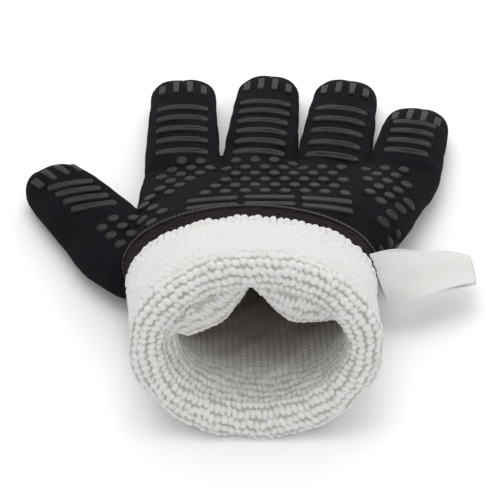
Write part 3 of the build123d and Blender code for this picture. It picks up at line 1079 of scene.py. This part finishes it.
# The outline of each field of dots, one of its dots, and its pitch across and between rows
DOT_AREAS = {
    "grip_dots_index_mound": (
        [(-39, 75), (-14, 75), (-15, 62), (-26, 54), (-34, 40), (-47, 40), (-43, 60)], (-31.5, 73.5), 8.7, 6.2
    ),
    "grip_dots_palm_centre": (
        [(-11, 76), (24, 76), (28, 72.5), (46, 67), (42, 34), (-28, 34), (-14, 58)], (-6.5, 73.8), 8.8, 7.5
    ),
    "grip_dots_little_mound": (
        [(54, 71), (76, 71), (73, 44), (68, 26), (63, 8), (52, 4), (57, 30), (52, 44), (49, 52)],
        (62, 67), 8.7, 6.6,
    ),
    "grip_dots_thumb_mound": (
        [(-69, 27), (-58, 35), (-49, 41), (-36, 36), (-34, 22), (-48, 6), (-60, 10), (-68, 18)],
        (-56, 24), 8.9, 6.6,
    ),
}
# How many bars, the first one's place, their pitch, their length, and their slant in degrees
FINGER_BARS = {
    "thumb": (4, 8.5, 7.0, 21, -22),
    "index": (5, 3.8, 9.3, 24.5, 0),
    "middle": (6, 3.4, 8.6, 24.5, 0),
    "ring": (5, 0.2, 10.1, 25, -2),
    "little": (4, 4.5, 8.4, 21, 2),
}
TIP_BAR_LENGTH, TIP_BAR_PITCH, OUTER_TIP_BAR_BACK = 12.5, 6.7, 1.6
TIP_BARS_FROM_END = dict.fromkeys(DIGITS, 16.8) | {"thumb": 13.8}
PALM_BARS = [(x, y - 0.02 * abs(x - 9) ** 1.1) for y in (28.6, 21.2) for x in (-16.5, 8.5, 33.5)]
PALM_BAR_LENGTH = 22.5


class GLOVE_OT_grips(bpy.types.Operator):
    """Print the silicone dots and bars"""

    bl_idname = "glove.grips"
    bl_label = "Silicone grips"

    def execute(self, context):
        grips = context.scene.glove.grips
        surface = print_surface()
        radius = grips.dot / MM / 2
        for name, area in DOT_AREAS.items():
            dots = [(x, y, 0, radius, radius, radius) for x, y in staggered(*area)]
            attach(printed(name, dots, surface, DOT_SIDES), "hand")
        half = grips.bar / MM / 2
        bars = [(x, y, 0, PALM_BAR_LENGTH / 2, half, 1.2) for x, y in PALM_BARS]
        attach(printed("grip_bars_palm", bars, surface, BAR_SIDES), "hand")
        for name in DIGITS:
            self.digit(name, surface, half, grips.tip_bar / MM / 2)
        return {"FINISHED"}

    def digit(self, name, surface, half, tip_half):
        """The cross bars and the four fingertip bars of one digit."""
        x, y, ahead, heading = digit_frame(name)
        count, first, pitch, length, slant = FINGER_BARS[name]
        bars, tips = [], []
        for row in range(count):
            d = first + row * pitch
            bars.append((x + ahead[0] * d, y + ahead[1] * d, heading + slant, length / 2, half, 1.3))
        for step in (-1.5, -0.5, 0.5, 1.5):
            across = step * TIP_BAR_PITCH
            back = OUTER_TIP_BAR_BACK * (abs(step) > 1)
            d = DIGIT_SIZES[name][0] - TIP_BARS_FROM_END[name] - back
            tips.append((x + ahead[0] * d + ahead[1] * across, y + ahead[1] * d - ahead[0] * across,
                         heading + 90, TIP_BAR_LENGTH / 2 - back, tip_half, 1.0))
        bend_with(printed(f"grip_bars_{name}", bars, surface, BAR_SIDES), name)
        bend_with(printed(f"grip_tip_{name}", tips, surface, BAR_SIDES), name)


# --------------------------------------------------------------------------------------------------
# Hanging loop

# Share of one ply, centre, and the way across the tape, from the seam to the far fold
LOOP_ROUTE = (
    (0.00, 53.4, -14.5, 27.0, -0.37, 0.29, 0.88),
    (0.14, 59.0, -11.5, 25.5, -0.28, 0.50, 0.82),
    (0.40, 69.5, -4.5, 21.5, -0.08, 0.88, 0.42),
    (0.70, 83.0, 1.5, 17.6, 0.00, 0.97, 0.12),
    (1.00, 96.0, 4.5, 15.0, 0.00, 0.98, -0.15),
)
TAPE_WIDE, TAPE_THICK, TAPE_CUP, PLY_GAP, PLY_SPREAD = 22.0, 0.88, 0.5, 4.6, -1.8
TAPE_COLUMNS, TAPE_STRIPES, TAPE_RIDGE = 24, 3, 1.35


def unit(vectors):
    return vectors / np.linalg.norm(vectors, axis=1, keepdims=True)


def run_length(line):
    return np.linalg.norm(np.diff(line, axis=0), axis=1).sum()


class GLOVE_OT_loop(bpy.types.Operator):
    """Weave the hanging loop, from the hem out to its far fold"""

    bl_idname = "glove.loop"
    bl_label = "Hanging loop"

    def execute(self, context):
        share = np.linspace(0, 1, 46)
        table = curve_through(LOOP_ROUTE, share)
        centre, across = table[:, :3], unit(table[:, 3:])
        way = np.gradient(centre, axis=0)
        face = unit(np.cross(across, way))
        gap = PLY_GAP * np.sin(pi * share**1.4) ** 0.8 * 0.5 + 0.9 + 0.8 * share
        upper = centre + face * gap[:, None] * 0.5
        spread = PLY_SPREAD * np.sin(pi * share**0.8)[:, None]
        lower = (centre - face * gap[:, None] * 0.5 + across * spread)[::-1]
        end, out = centre[-1], way[-1] / np.linalg.norm(way[-1])
        bend = []
        for angle in np.linspace(0, pi, 9)[1:-1]:
            bend.append(end + (face[-1] * cos(angle) + out * sin(angle)) * gap[-1] * 0.5)
        line = np.concatenate([upper, bend, lower])
        wide = np.concatenate([across, np.repeat(across[-1:], len(bend), axis=0), across[::-1]])
        piece = self.strip(line, wide)
        finish_piece(piece, material(tape_material), "tape", "hang_loop", "hang_loop_tab")
        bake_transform(piece)
        return {"FINISHED"}

    def strip(self, line, wide):
        """The tape as a woven strip with its own thickness, slightly cupped across."""
        piece, share, row = grid("tape_loop", TAPE_COLUMNS, len(line))
        normal = unit(np.cross(wide, np.gradient(line, axis=0)))
        offset = (share - 0.5) * TAPE_WIDE
        cup = -TAPE_CUP * ((share - 0.5) * 2) ** 2
        places = line[row] + wide[row] * offset[:, None] + normal[row] * cup[:, None]
        place_grid(piece, places, (TAPE_STRIPES, run_length(line) / TAPE_RIDGE))
        thick = piece.modifiers.new("Thickness", "SOLIDIFY")
        thick.thickness = TAPE_THICK * MM
        thick.offset = 0
        deselect()
        piece.select_set(True)
        bpy.context.view_layer.objects.active = piece
        bpy.ops.object.modifier_apply(modifier=thick.name)
        bpy.ops.object.shade_smooth_by_angle(angle=radians(50))
        return piece


# --------------------------------------------------------------------------------------------------
# Stage


CAMERA_TARGET, LAMP_TARGET = Vector((0, 0, 0.030)), Vector((0, 0, 0.02))
WORLD_STRENGTH = 0.80
# Name, place, size and power
LAMPS = (
    ("top", (-0.15, 0.25, 1.3), 0.9, 6.4),
    ("front", (0.45, -1.1, 0.9), 0.9, 1.6),
    ("back", (0.3, 1.2, 0.8), 0.8, 3.4),
)


class GLOVE_OT_stage(bpy.types.Operator):
    """Lay the floor and set the camera and the lights"""

    bl_idname = "glove.stage"
    bl_label = "Stage"

    def execute(self, context):
        stage = context.scene.glove.stage
        deselect()
        bpy.ops.mesh.primitive_plane_add(size=stage.floor)
        floor = context.object
        floor.name = "floor"
        shader = Shader("White floor", 0.9, Specular_IOR_Level=0.1)
        floor.data.materials.append(shader.finish((0.93, 0.93, 0.93, 1)))
        world = bpy.data.worlds.new("Soft white studio")
        world.use_nodes = True
        background = world.node_tree.nodes["Background"]
        background.inputs["Color"].default_value = (1, 1, 1, 1)
        background.inputs["Strength"].default_value = WORLD_STRENGTH
        context.scene.world = world
        context.scene.view_settings.view_transform = "Standard"
        for lamp in LAMPS:
            self.lamp(*lamp)
        camera = bpy.data.objects.new("camera", bpy.data.cameras.new("camera"))
        context.scene.collection.objects.link(camera)
        camera.data.lens = stage.lens
        camera.data.sensor_width = 36
        away = Vector((0, -cos(stage.elevation), sin(stage.elevation)))
        camera.location = CAMERA_TARGET + away * stage.distance
        camera.rotation_euler = (-away).to_track_quat("-Z", "Y").to_euler()
        context.scene.camera = camera
        return {"FINISHED"}

    def lamp(self, name, place, size, power):
        data = bpy.data.lights.new(name, "AREA")
        data.size, data.energy = size, power
        lamp = bpy.data.objects.new(name, data)
        lamp.location = place
        lamp.rotation_euler = (LAMP_TARGET - lamp.location).to_track_quat("-Z", "Y").to_euler()
        bpy.context.scene.collection.objects.link(lamp)


STEPS = (GLOVE_OT_hand, GLOVE_OT_digits, GLOVE_OT_cuff, GLOVE_OT_mouth, GLOVE_OT_hem, GLOVE_OT_grips,
         GLOVE_OT_loop, GLOVE_OT_stage)


class GLOVE_PT_panel(bpy.types.Panel):
    """The glove's steps, in order"""

    bl_idname = "GLOVE_PT_panel"
    bl_label = "Heat resistant glove"
    bl_space_type = "VIEW_3D"
    bl_region_type = "UI"
    bl_category = "Glove"

    def draw(self, context):
        for step in STEPS:
            self.layout.operator(step.bl_idname)


CLASSES = (GloveKnit, GloveCuff, GloveGrips, GloveColours, GloveStage, GloveSettings, *STEPS, GLOVE_PT_panel)


def register():
    for item in CLASSES:
        bpy.utils.register_class(item)
    bpy.types.Scene.glove = PointerProperty(type=GloveSettings)


def unregister():
    del bpy.types.Scene.glove
    for item in reversed(CLASSES):
        bpy.utils.unregister_class(item)


def main():
    register()
    bpy.ops.glove.hand()
    bpy.ops.glove.digits()
    bpy.ops.glove.cuff()
    bpy.ops.glove.mouth()
    bpy.ops.glove.hem()
    bpy.ops.glove.grips()
    bpy.ops.glove.loop()
    bpy.ops.glove.stage()
    bpy.context.view_layer.update()


if __name__ == "__main__":
    main()
